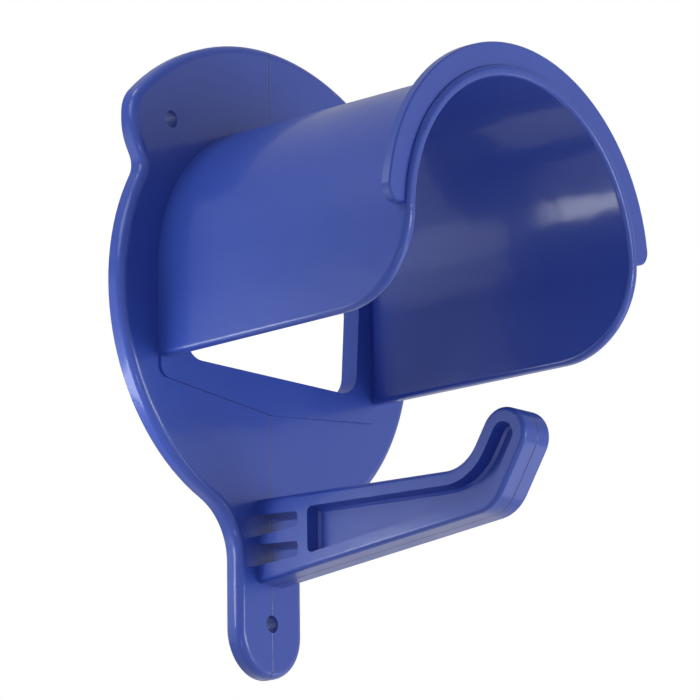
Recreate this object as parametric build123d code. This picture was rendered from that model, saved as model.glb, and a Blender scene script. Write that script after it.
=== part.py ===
# Bridle holder for a tack room wall, one plastic moulding, the same left and right.
# All sizes are millimetres. The wall plane is y = 0 and the holder stands out from it to -Y, with +Z up.
# Heights and drops are measured from the centre of the round plate. The finished part is then moved down,
# so that its origin is the middle between the two upper screws, on the wall.
import os
from math import cos, hypot, radians, sin, sqrt

from build123d import *

# Wall plate: a disc with an ear above and a tab below, hollow at the back
plate_radius = 75.0
plate_depth = 6.0
plate_edge_round = 3.0
neck_angle = 33.7
ear_rise = 19.0
ear_shoulder_width = 6.1
ear_shoulder_height = 10.5
ear_corner_round = 12.0
ear_side_round = 20.0
neck_round = 7.0
tab_half_width = 16.2
tab_length = 53.3
tab_flare_round = 22.0
skirt_wall = 3.0
back_pocket_depth = 3.0

# Screw holes, each in a boss that reaches the wall
screw_hole_radius = 3.0
screw_boss_radius = 7.0
upper_screw_spacing = 99.4
upper_screw_height = 59.6
lower_screw_drop = 109.4

# Saddle: an upside-down U that widens a little towards its open front
saddle_centre_height = 6.3
saddle_root_half_width = 56.8
saddle_flare = 3.4
saddle_root_wall = 5.2
saddle_front_wall = 4.2
saddle_reach = 121.4
saddle_drop_root = 24.6
saddle_drop_front = 22.2
saddle_corner_round = 31.0
saddle_inner_edge_round = 1.6
saddle_outer_edge_round = 1.8

# Lip that stands up round the top of the saddle's front
lip_height = 7.9
lip_thickness = 4.0
lip_set_back = 1.8
lip_edge_bevel = 0.5
lip_end_height = 9.0
lip_corner_round = 5.0
lip_seat = 1.9

# Opening through the plate inside the saddle, and the low raised field round it
opening_half_width = 45.5
opening_foot_half_width = 43.5
opening_drop = 23.0
opening_corner_round = 8.0
opening_rim_wall = 3.0
field_rise = 1.0
field_side_inset = 0.5
field_side_drop = 31.0
field_middle_drop = 36.6
field_corner_round = 4.0

# Bridle hook: a flat arm below the saddle with its end turned up
hook_thickness = 14.0
hook_top_root_drop = 66.8
hook_top_bend_drop = 69.0
hook_bottom_root_drop = 96.2
hook_bottom_bend_drop = 84.6
hook_bend_reach = 111.2
hook_tip_angle = 58.0
hook_tip_width = 19.0
hook_tip_length = 32.4
hook_tip_flat = 0.4
hook_inner_bend_round = 15.0
hook_outer_bend_round = 14.0
hook_edge_round = 1.5

# Pocket in each side of the hook
pocket_rim = 5.0
pocket_depth = 5.5
pocket_start = 28.5
pocket_draft_angle = 10.0
pocket_corner_round = 2.0
pocket_floor_bevel = 0.8

# Two slots through the foot of the hook, against the plate
slot_end = 24.2
slot_end_round = 1.5
slot_root_width = 7.6
slot_end_width = 5.1
slot_rim = 5.4
slot_rib = 2.7

# How far each form that stands on the plate runs into it, and cutting shapes run past
root_overlap = 1.0
overrun = 2.0

face_y = -plate_depth
skin_y = -back_pocket_depth
root_y = face_y + root_overlap
saddle_front_half_width = saddle_root_half_width + saddle_flare
saddle_side_foot = saddle_drop_root + saddle_corner_round
tiny = 0.001


def wall_sketch(shape, y=0.0):
    """Puts a sketch drawn in X and Z on the plane at y, facing away from the wall."""
    return Plane((0, y, 0), x_dir=(1, 0, 0), z_dir=(0, -1, 0)) * shape


def side_sketch(shape, x=0.0):
    """Puts a sketch drawn in Y and Z on the plane at x, facing +X."""
    return Plane((x, 0, 0), x_dir=(0, 1, 0), z_dir=(1, 0, 0)) * shape


def polygon(points):
    return make_face(Polyline(*points, close=True))


def nearest(vertices, x, y):
    """The vertex of a flat sketch that lies nearest to a point."""
    return vertices.sort_by_distance((x, y, 0))[0]


def plate_outline():
    """Disc, ear and tab as one outline with all its corners rounded."""
    neck_half = plate_radius * cos(radians(neck_angle))
    neck_height = plate_radius * sin(radians(neck_angle))
    ear_radius = plate_radius + ear_rise
    ear_half = neck_half + ear_shoulder_width
    side_foot = neck_height + ear_shoulder_height
    side_top = sqrt(ear_radius**2 - ear_half**2)
    ear_box = polygon([
        (-neck_half, neck_height), (neck_half, neck_height), (ear_half, side_foot),
        (ear_half, ear_radius), (-ear_half, ear_radius), (-ear_half, side_foot),
    ])
    ear = ear_box & Circle(ear_radius)
    corner_round = min(ear_corner_round, side_top - side_foot)
    tab_centre = -(plate_radius + tab_length - tab_half_width)
    tab = Pos(0, tab_centre / 2) * Rectangle(2 * tab_half_width, -tab_centre)
    tab += Pos(0, tab_centre) * Circle(tab_half_width)
    outline = Circle(plate_radius) + ear + tab
    tab_root = -sqrt(plate_radius**2 - tab_half_width**2)
    for side in (-1, 1):
        outline = fillet(nearest(outline.vertices(), side * ear_half, side_top), corner_round)
        outline = fillet(nearest(outline.vertices(), side * ear_half, side_foot), ear_side_round)
        outline = fillet(nearest(outline.vertices(), side * neck_half, neck_height), neck_round)
        outline = fillet(nearest(outline.vertices(), side * tab_half_width, tab_root), tab_flare_round)
    return outline


def arch_outline(half_width, foot_points):
    """A half round top about the saddle's centre, closed below through the given points."""
    start = (-half_width, saddle_centre_height)
    end = (half_width, saddle_centre_height)
    crown = ThreePointArc(end, (0, saddle_centre_height + half_width), start)
    return make_face(Polyline(start, *foot_points, end) + crown)


def tall_arch(half_width):
    """An arch with upright sides that reach well below the saddle's foot."""
    return arch_outline(half_width, [(-half_width, -saddle_side_foot), (half_width, -saddle_side_foot)])


def screw_circles(radius):
    """One circle at each of the three screws."""
    half = upper_screw_spacing / 2
    circles = Pos(-half, upper_screw_height) * Circle(radius)
    circles += Pos(half, upper_screw_height) * Circle(radius)
    return circles + Pos(0, -lower_screw_drop) * Circle(radius)


def opening_outline():
    """The hole through the plate, a little narrower at its flat foot."""
    foot = [(-opening_foot_half_width, -opening_drop), (opening_foot_half_width, -opening_drop)]
    outline = arch_outline(opening_half_width, foot)
    return fillet(outline.vertices().group_by(Axis.Y)[0], opening_corner_round)


def field_outline():
    """The low field round the opening, ending in a shallow V below it."""
    half = saddle_root_half_width - field_side_inset
    foot = [(-half, -field_side_drop), (0, -field_middle_drop), (half, -field_side_drop)]
    outline = arch_outline(half, foot)
    for side in (-1, 1):
        outline = fillet(nearest(outline.vertices(), side * half, -field_side_drop), field_corner_round)
    return outline


def make_plate():
    """The plate as one tray, open at the back, with its screw holes and its opening."""
    outline = plate_outline()
    opening = opening_outline()
    plate = extrude(wall_sketch(outline), plate_depth)
    plate = fillet(plate.faces().sort_by(Axis.Y)[0].edges(), plate_edge_round)
    hollow = offset(outline, -skirt_wall) - offset(opening, opening_rim_wall)
    hollow -= screw_circles(screw_boss_radius)
    plate -= extrude(wall_sketch(hollow), back_pocket_depth)
    plate += extrude(wall_sketch(field_outline(), skin_y), plate_depth + field_rise - back_pocket_depth)
    through = opening + screw_circles(screw_hole_radius)
    return plate - extrude(wall_sketch(through, overrun), plate_depth + field_rise + 2 * overrun)


def tapered_arch(root_half_width, front_half_width):
    root = wall_sketch(tall_arch(root_half_width), root_y)
    front = wall_sketch(tall_arch(front_half_width), -saddle_reach)
    return loft([root, front], ruled=True)


def is_free_edge(edge):
    """True for an edge that runs along the saddle's foot, corner or front, not across the wall."""
    start, end = edge @ 0, edge @ 1
    stays = abs(start.Y - end.Y) < tiny and abs(start.Z - end.Z) < tiny
    across_wall = stays and edge.geom_type == GeomType.LINE
    at_root = abs((edge @ 0.5).Y - root_y) < tiny
    spring_line = abs(start.Z - saddle_centre_height) < tiny and abs(start.Y - end.Y) > overrun
    return not (across_wall or at_root or spring_line)


def lies_outside(edge):
    """True for a free edge on the saddle's outer skin."""
    place = edge @ 0.5
    share = (root_y - place.Y) / (root_y + saddle_reach)
    root_middle = saddle_root_half_width - saddle_root_wall / 2
    front_middle = saddle_front_half_width - saddle_front_wall / 2
    middle = root_middle + share * (front_middle - root_middle)
    return hypot(place.X, max(place.Z - saddle_centre_height, 0)) > middle


def make_saddle():
    """The U alone, cut along its foot and round its lower front corners, with its edges rounded."""
    outer = tapered_arch(saddle_root_half_width, saddle_front_half_width)
    inner_root = saddle_root_half_width - saddle_root_wall
    inner_front = saddle_front_half_width - saddle_front_wall
    inner = tapered_arch(inner_root, inner_front)
    top = saddle_centre_height + saddle_front_half_width + overrun
    side = polygon([
        (root_y, -saddle_drop_root), (-saddle_reach, -saddle_drop_front),
        (-saddle_reach, top), (root_y, top),
    ])
    front_foot = nearest(side.vertices(), -saddle_reach, -saddle_drop_front)
    side = fillet(front_foot, saddle_corner_round)
    saddle = (outer - inner) & extrude(side_sketch(side), saddle_front_half_width + overrun, both=True)
    outer_edges = [e for e in saddle.edges() if is_free_edge(e) and lies_outside(e)]
    saddle = fillet(outer_edges, saddle_outer_edge_round)
    inner_edges = [e for e in saddle.edges() if is_free_edge(e) and not lies_outside(e)]
    return fillet(inner_edges, saddle_inner_edge_round)


def make_lip():
    """Band just behind the saddle's front that stands up past the wall and ends in round corners."""
    seat_radius = saddle_front_half_width - lip_seat
    lip_radius = saddle_front_half_width + lip_height
    band = tall_arch(lip_radius) - tall_arch(seat_radius)
    below = saddle_side_foot + lip_end_height + overrun
    band -= Pos(0, lip_end_height - below / 2) * Rectangle(3 * lip_radius, below)
    ends = band.vertices().group_by(Axis.Y)[0].sort_by(Axis.X)
    band = fillet([ends[0], ends[-1]], lip_corner_round)
    lip = extrude(wall_sketch(band, lip_set_back - saddle_reach), -lip_thickness)
    return chamfer([e for e in lip.edges() if is_lip_rim(e, seat_radius)], lip_edge_bevel)


def is_lip_rim(edge, seat_radius):
    """True for an edge of the lip's front or back that stands clear of its seat on the wall."""
    start, end, middle = edge @ 0, edge @ 1, edge @ 0.5
    along_reach = abs(start.Y - end.Y) > tiny
    on_seat = abs(hypot(middle.X, middle.Z - saddle_centre_height) - seat_radius) < tiny
    return not (along_reach or on_seat)


def hook_profile():
    """Side view of the hook in Y and Z: a flat arm with its end turned up."""
    rise = radians(hook_tip_angle)
    along_tip = Vector(-cos(rise), sin(rise))
    across_tip = Vector(sin(rise), cos(rise)) * hook_tip_width
    outer_bend = Vector(-hook_bend_reach, -hook_bottom_bend_drop)
    outer_tip = outer_bend + along_tip * hook_tip_length
    inner_tip = outer_tip + across_tip
    inner_bend = inner_tip - along_tip * ((inner_tip.Y + hook_top_bend_drop) / along_tip.Y)
    profile = polygon([
        (root_y, -hook_top_root_drop), (inner_bend.X, inner_bend.Y), (inner_tip.X, inner_tip.Y),
        (outer_tip.X, outer_tip.Y), (outer_bend.X, outer_bend.Y), (root_y, -hook_bottom_root_drop),
    ])
    tip_round = (hook_tip_width - hook_tip_flat) / 2
    profile = fillet(nearest(profile.vertices(), inner_tip.X, inner_tip.Y), tip_round)
    profile = fillet(nearest(profile.vertices(), outer_tip.X, outer_tip.Y), tip_round)
    profile = fillet(nearest(profile.vertices(), inner_bend.X, inner_bend.Y), hook_inner_bend_round)
    return fillet(nearest(profile.vertices(), outer_bend.X, outer_bend.Y), hook_outer_bend_round)


def slot_outline(drop):
    """One slot of the hook's foot, from the plate out to its narrower, round-cornered end."""
    slot = polygon([
        (root_y, slot_root_width / 2 - drop), (-slot_end, slot_end_width / 2 - drop),
        (-slot_end, -slot_end_width / 2 - drop), (root_y, -slot_root_width / 2 - drop),
    ])
    return fillet(slot.vertices().group_by(Axis.X)[0], slot_end_round)


def make_hook():
    """The hook with its edges rounded, its two side pockets and the slots at its foot."""
    profile = hook_profile()
    hook = extrude(side_sketch(profile), hook_thickness / 2, both=True)
    rims = [e for e in hook.edges() if abs((e @ 0.5).X) > tiny and (e @ 0.5).Y < root_y - tiny]
    hook = fillet(rims, hook_edge_round)
    pocket = offset(profile, -pocket_rim)
    reach = 2 * (hook_bend_reach + hook_tip_length)
    pocket &= Pos(-pocket_start - reach / 2, -hook_top_root_drop) * Rectangle(reach, reach)
    pocket = fillet(pocket.vertices().group_by(Axis.X)[-1], pocket_corner_round)
    recess = extrude(side_sketch(pocket, -hook_thickness / 2), pocket_depth, taper=pocket_draft_angle)
    recess = chamfer(recess.faces().sort_by(Axis.X)[-1].edges(), pocket_floor_bevel)
    hook -= recess + mirror(recess, about=Plane.YZ)
    upper_drop = hook_top_root_drop + slot_rim + slot_root_width / 2
    lower_drop = upper_drop + slot_root_width + slot_rib
    slots = slot_outline(upper_drop) + slot_outline(lower_drop)
    return hook - extrude(side_sketch(slots), hook_thickness, both=True)


def main():
    os.makedirs("parts", exist_ok=True)
    holder = make_plate() + make_saddle() + make_lip() + make_hook()
    holder = Pos(0, 0, -upper_screw_height) * holder
    export_step(holder, "parts/bridle_holder.step")


main()
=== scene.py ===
import math

import bpy
from mathutils import Matrix, Vector

# Bridle holder: one glossy violet-blue moulding, seen a little from below and from its left.
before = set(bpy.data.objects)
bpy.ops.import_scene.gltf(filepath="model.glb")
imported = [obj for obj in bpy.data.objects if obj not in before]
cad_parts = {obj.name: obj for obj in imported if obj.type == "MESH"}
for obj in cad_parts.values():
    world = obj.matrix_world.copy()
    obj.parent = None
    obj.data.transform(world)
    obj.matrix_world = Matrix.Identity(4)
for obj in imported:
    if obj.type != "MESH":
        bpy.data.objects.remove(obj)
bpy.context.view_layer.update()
print("frame loaded, nodes:", sorted(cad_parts))


# Shared helpers for node trees

def addNode(tree, kind, inputs=None, **settings):
    node = tree.nodes.new(kind)
    for name, value in settings.items():
        setattr(node, name, value)
    for name, value in (inputs or {}).items():
        node.inputs[name].default_value = value
    return node


# sets a socket to a plain number or colour, or links another node's output to it
def feed(tree, socket, value):
    if isinstance(value, (int, float, tuple)):
        socket.default_value = value
    else:
        tree.links.new(value, socket)


def addMath(tree, operation, first, second):
    node = addNode(tree, "ShaderNodeMath", operation=operation)
    feed(tree, node.inputs[0], first)
    feed(tree, node.inputs[1], second)
    return node.outputs[0]


def addRamp(tree, value, low, high, start, end):
    limits = {"From Min": low, "From Max": high, "To Min": start, "To Max": end}
    node = addNode(tree, "ShaderNodeMapRange", limits, interpolation_type="SMOOTHSTEP")
    tree.links.new(value, node.inputs["Value"])
    return node.outputs["Result"]


# a colour mix has its share in socket 0, its two colours in sockets 6 and 7, and the result in output 2
def addColourMix(tree, share, first, second):
    node = addNode(tree, "ShaderNodeMix", data_type="RGBA")
    for socketNumber, value in ((0, share), (6, first), (7, second)):
        feed(tree, node.inputs[socketNumber], value)
    return node.outputs[2]


def addNoise(tree, place, scale, detail, breakup=0.5):
    node = addNode(tree, "ShaderNodeTexNoise", {"Scale": scale, "Detail": detail, "Roughness": breakup})
    tree.links.new(place, node.inputs["Vector"])
    return node.outputs["Fac"]


# 1 for the rays that a glossy or clear surface sends on, 0 for the others
def addMirroredRays(tree, path):
    return addMath(tree, "MAXIMUM", path.outputs["Is Glossy Ray"], path.outputs["Is Transmission Ray"])


# The moulding's plastic

plastic = {
    "colour": (0.030, 0.067, 0.390, 1.0),
    "deepColour": (0.026, 0.060, 0.355, 1.0),
    # painted shade: the parting line's fine groove is painted this darker blue
    "seamShadeColour": (0.008, 0.016, 0.10, 1.0),
    "glossColour": (0.62, 0.75, 1.0, 1.0),
    "ior": 1.42,
    "skinWeight": 0.42,        # the skin mirrors lamps and edges more sharply than the body under it
    "skinIor": 1.5,
    "skinRoughness": 0.14,
    "flowScale": 14.0,         # slow drifts of shade across the moulding, per metre
    "flowDetail": 3.0,
    "flowBreakup": 0.55,
    "polishScale": 55.0,       # patches a little more or less polished
    "polishDetail": 4.0,
    "polishStart": 0.35,
    "polishEnd": 0.7,
    "glossyRoughness": 0.40,
    "dullRoughness": 0.47,
    "peelScale": 420.0,        # faint orange peel of the mould's skin
    "peelDetail": 2.0,
    "peelDepth": 0.00002,
    "waveScale": 26.0,         # slow waves that the walls take as they cool
    "waveDetail": 3.0,
    "waveDepth": 0.0007,
    "partingWidth": 0.00042,
    "partingDepth": -0.00008,
    "saddleTop": 0.0065,       # the mould halves meet on the plate above this height
    "plateFront": -0.02,       # and behind this depth
    "fieldFoot": -0.0962,      # and again below this height, down the plate and the hook
}


# parting line: a fine seam on the middle plane, 1 on it and 0 elsewhere; the colour is painted darker there
# as painted shade, and the skin dips into it
def addSeam(tree, place):
    axes = addNode(tree, "ShaderNodeSeparateXYZ")
    tree.links.new(place, axes.inputs[0])
    across = addMath(tree, "ABSOLUTE", axes.outputs["X"], 0.0)
    line = addRamp(tree, across, 0.0, plastic["partingWidth"], 1.0, 0.0)
    aboveSaddle = addMath(tree, "GREATER_THAN", axes.outputs["Z"], plastic["saddleTop"])
    onPlate = addMath(tree, "GREATER_THAN", axes.outputs["Y"], plastic["plateFront"])
    belowField = addMath(tree, "LESS_THAN", axes.outputs["Z"], plastic["fieldFoot"])
    stretches = addMath(tree, "ADD", addMath(tree, "MULTIPLY", aboveSaddle, onPlate), belowField)
    return addMath(tree, "MULTIPLY", line, stretches)


def makePlastic():
    material = bpy.data.materials.new("violetBluePlastic")
    material.use_nodes = True
    tree = material.node_tree
    tree.nodes.clear()
    output = addNode(tree, "ShaderNodeOutputMaterial")
    shader = addNode(tree, "ShaderNodeBsdfPrincipled", {
        "IOR": plastic["ior"],
        "Specular Tint": plastic["glossColour"],
        "Coat Weight": plastic["skinWeight"],
        "Coat IOR": plastic["skinIor"],
        "Coat Roughness": plastic["skinRoughness"],
    })
    tree.links.new(shader.outputs[0], output.inputs["Surface"])
    place = addNode(tree, "ShaderNodeTexCoord").outputs["Object"]
    seam = addSeam(tree, place)

    # colour drifts slowly, as in a melt that filled the mould from one gate, and is painted darker along
    # the seam as painted shade in its fine groove
    flow = addNoise(tree, place, plastic["flowScale"], plastic["flowDetail"], plastic["flowBreakup"])
    tint = addColourMix(tree, flow, plastic["deepColour"], plastic["colour"])
    tint = addColourMix(tree, seam, tint, plastic["seamShadeColour"])
    tree.links.new(tint, shader.inputs["Base Color"])

    # polish differs from place to place
    polish = addNoise(tree, place, plastic["polishScale"], plastic["polishDetail"])
    roughness = addRamp(tree, polish, plastic["polishStart"], plastic["polishEnd"],
                        plastic["glossyRoughness"], plastic["dullRoughness"])
    tree.links.new(roughness, shader.inputs["Roughness"])

    # the skin has a faint peel and slow waves, and dips into the seam
    peel = addNoise(tree, place, plastic["peelScale"], plastic["peelDetail"])
    wave = addNoise(tree, place, plastic["waveScale"], plastic["waveDetail"])
    height = addMath(tree, "MULTIPLY", peel, plastic["peelDepth"])
    height = addMath(tree, "ADD", height, addMath(tree, "MULTIPLY", wave, plastic["waveDepth"]))
    height = addMath(tree, "ADD", height, addMath(tree, "MULTIPLY", seam, plastic["partingDepth"]))
    bump = addNode(tree, "ShaderNodeBump", {"Strength": 1.0, "Distance": 1.0})
    tree.links.new(height, bump.inputs["Height"])
    tree.links.new(bump.outputs[0], shader.inputs["Normal"])
    tree.links.new(bump.outputs[0], shader.inputs["Coat Normal"])
    return material


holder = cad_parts["bridle_holder"]
holder.data.materials.clear()
holder.data.materials.append(makePlastic())
print("plastic made, slots on the holder:", len(holder.material_slots))


# Floor, light and white surround

studio = {
    "floorHeight": -1.30,
    "floorSize": 12.0,
    "floorColour": (0.88, 0.88, 0.89, 1.0),
    "floorRoughness": 0.9,
    "floorMirror": 1.0,        # how bright glossy surfaces show the floor
    "floorLift": 0.62,         # how far the camera sees the floor paler than it is lit
    "aim": (0.0, -0.06, -0.07),
    "sideTurn": 0.15,          # the surround changes from front to back over this much of its direction
    "paleFoot": 0.25,          # and from low to high between these heights of it
    "paleTop": 0.45,
}

# how strongly each part of the surround lights rough surfaces, and how bright glossy ones show it
glowLevels = {"lowFront": 0.58, "lowBack": 0.34, "highFront": 0.28, "highBack": 0.19}
mirrorLevels = {"lowFront": 0.90, "lowBack": 0.38, "highFront": 0.50, "highBack": 0.55}

lamps = {
    "topLamp": {"place": (-0.6, 0.3, 1.9), "size": 0.8, "power": 9.0},
    "frontLamp": {"place": (0.6, -2.1, -0.1), "size": 0.8, "power": 16.0},
    "lowFrontLamp": {"place": (0.6, -2.0, -0.9), "size": 0.8, "power": 3.5},
    "lowRightLamp": {"place": (1.40, -1.03, -1.04), "size": 0.9, "power": 3.5},
    "leftLamp": {"place": (-0.26, 0.0, 0.11), "size": 0.16, "power": 0.22},
    "wallLamp": {"place": (-0.50, 0.74, 0.15), "size": 0.22, "power": 0.4},     # glow low on the near wall
    "rimLamp": {"place": (-0.60, -0.57, -0.50), "size": 0.08, "power": 0.35},   # glints on rounded edges
    "cardLamp": {"place": (-0.27, 0.13, -0.13), "size": 0.28, "power": 0.18},   # soft sheen in the saddle
    "blobLamp": {"place": (-0.123, 0.034, -0.139), "size": 0.05, "power": 0.06},  # bright spot in it
}


def makeFloor():
    bpy.ops.object.select_all(action="DESELECT")
    bpy.ops.mesh.primitive_plane_add(size=studio["floorSize"], location=(0, 0, studio["floorHeight"]))
    floor = bpy.context.object
    floor.name = "floor"
    bpy.ops.object.transform_apply(location=True, rotation=True, scale=True)
    material = bpy.data.materials.new("paleFloor")
    material.use_nodes = True
    tree = material.node_tree
    shader = tree.nodes["Principled BSDF"]
    shader.inputs["Base Color"].default_value = studio["floorColour"]
    shader.inputs["Roughness"].default_value = studio["floorRoughness"]

    # glossy plastic shows the floor as an even pale sheet, and the camera sees part of it over the shadow
    path = addNode(tree, "ShaderNodeLightPath")
    lift = addMath(tree, "MULTIPLY", path.outputs["Is Camera Ray"], studio["floorLift"])
    share = addMath(tree, "MAXIMUM", addMirroredRays(tree, path), lift)
    sheet = addNode(tree, "ShaderNodeEmission", {"Strength": studio["floorMirror"]})
    choice = addNode(tree, "ShaderNodeMixShader")
    for socket, value in zip(choice.inputs, (share, shader.outputs[0], sheet.outputs[0])):
        tree.links.new(value, socket)
    tree.links.new(choice.outputs[0], tree.nodes["Material Output"].inputs["Surface"])
    floor.data.materials.append(material)


def makeLamp(name, settings):
    lamp = bpy.data.lights.new(name, "AREA")
    lamp.shape = "DISK"
    lamp.size = settings["size"]
    lamp.energy = settings["power"]
    lampObject = bpy.data.objects.new(name, lamp)
    bpy.context.scene.collection.objects.link(lampObject)
    place = Vector(settings["place"])
    turn = (Vector(studio["aim"]) - place).to_track_quat("-Z", "Y")
    lampObject.matrix_world = Matrix.Translation(place) @ turn.to_matrix().to_4x4()
    lampObject.visible_camera = False


# blends four levels by which way a direction points, front or back and low or high
def addShade(tree, direction, levels):
    side = direction.outputs["Y"]
    turn = studio["sideTurn"]
    low = addRamp(tree, side, -turn, turn, levels["lowFront"], levels["lowBack"])
    high = addRamp(tree, side, -turn, turn, levels["highFront"], levels["highBack"])
    share = addRamp(tree, direction.outputs["Z"], studio["paleFoot"], studio["paleTop"], 0.0, 1.0)
    step = addMath(tree, "MULTIPLY", share, addMath(tree, "SUBTRACT", high, low))
    return addMath(tree, "ADD", low, step)


# the camera sees plain white, glossy surfaces the mirror levels and rough ones the glow levels
def makeSurround():
    world = bpy.data.worlds.new("whiteSurround")
    bpy.context.scene.world = world
    world.use_nodes = True
    tree = world.node_tree
    tree.nodes.clear()
    output = addNode(tree, "ShaderNodeOutputWorld")
    direction = addNode(tree, "ShaderNodeSeparateXYZ")
    tree.links.new(addNode(tree, "ShaderNodeTexCoord").outputs["Generated"], direction.inputs[0])
    path = addNode(tree, "ShaderNodeLightPath")
    mirror = addMath(tree, "MULTIPLY", addShade(tree, direction, mirrorLevels), addMirroredRays(tree, path))
    glow = addMath(tree, "MULTIPLY", addShade(tree, direction, glowLevels), path.outputs["Is Diffuse Ray"])
    strength = addMath(tree, "MAXIMUM", mirror, path.outputs["Is Camera Ray"])
    strength = addMath(tree, "MAXIMUM", strength, glow)
    background = addNode(tree, "ShaderNodeBackground", {"Color": (1.0, 1.0, 1.0, 1.0)})
    tree.links.new(strength, background.inputs["Strength"])
    tree.links.new(background.outputs[0], output.inputs["Surface"])


makeFloor()
for lampName, lampSettings in lamps.items():
    makeLamp(lampName, lampSettings)
makeSurround()
print("floor, lamps and surround made")


# Camera: its place and aim were fitted to the holder's edges in the photograph

view = {
    "yaw": math.radians(48.831),
    "pitch": math.radians(12.639),
    "roll": math.radians(-0.563),
    "distance": 2.23413,       # from the camera to the disc's centre, along the view
    "pixelsPerMetre": 2888.0,  # at the disc's centre
    "imageSize": 700.0,
    "discPixel": (257.093, 315.153),
    "discCentre": (0.0, 0.0, -0.0596),
    "sensor": 36.0,
}


def makeCamera():
    yaw, pitch, roll = view["yaw"], view["pitch"], view["roll"]
    forward = Vector((math.sin(yaw) * math.cos(pitch), math.cos(yaw) * math.cos(pitch), math.sin(pitch)))
    level = Vector((math.cos(yaw), -math.sin(yaw), 0.0))
    upright = level.cross(forward)
    right = level * math.cos(roll) + upright * math.sin(roll)
    up = upright * math.cos(roll) - level * math.sin(roll)

    # the disc's centre falls off the image's centre, so the camera stands aside from it by as much
    half = view["imageSize"] / 2
    focal = view["pixelsPerMetre"] * view["distance"]
    aside = (view["discPixel"][0] - half) / focal * view["distance"]
    above = (half - view["discPixel"][1]) / focal * view["distance"]
    place = Vector(view["discCentre"]) - right * aside - up * above - forward * view["distance"]

    camera = bpy.data.cameras.new("camera")
    camera.sensor_width = view["sensor"]
    camera.lens = focal / view["imageSize"] * view["sensor"]
    cameraObject = bpy.data.objects.new("camera", camera)
    bpy.context.scene.collection.objects.link(cameraObject)
    turn = Matrix((right, up, -forward)).transposed().to_4x4()
    cameraObject.matrix_world = Matrix.Translation(place) @ turn
    bpy.context.scene.camera = cameraObject
    print("camera at", [round(c, 3) for c in place], "lens", round(camera.lens, 1))


makeCamera()
bpy.context.scene.view_settings.view_transform = "Standard"
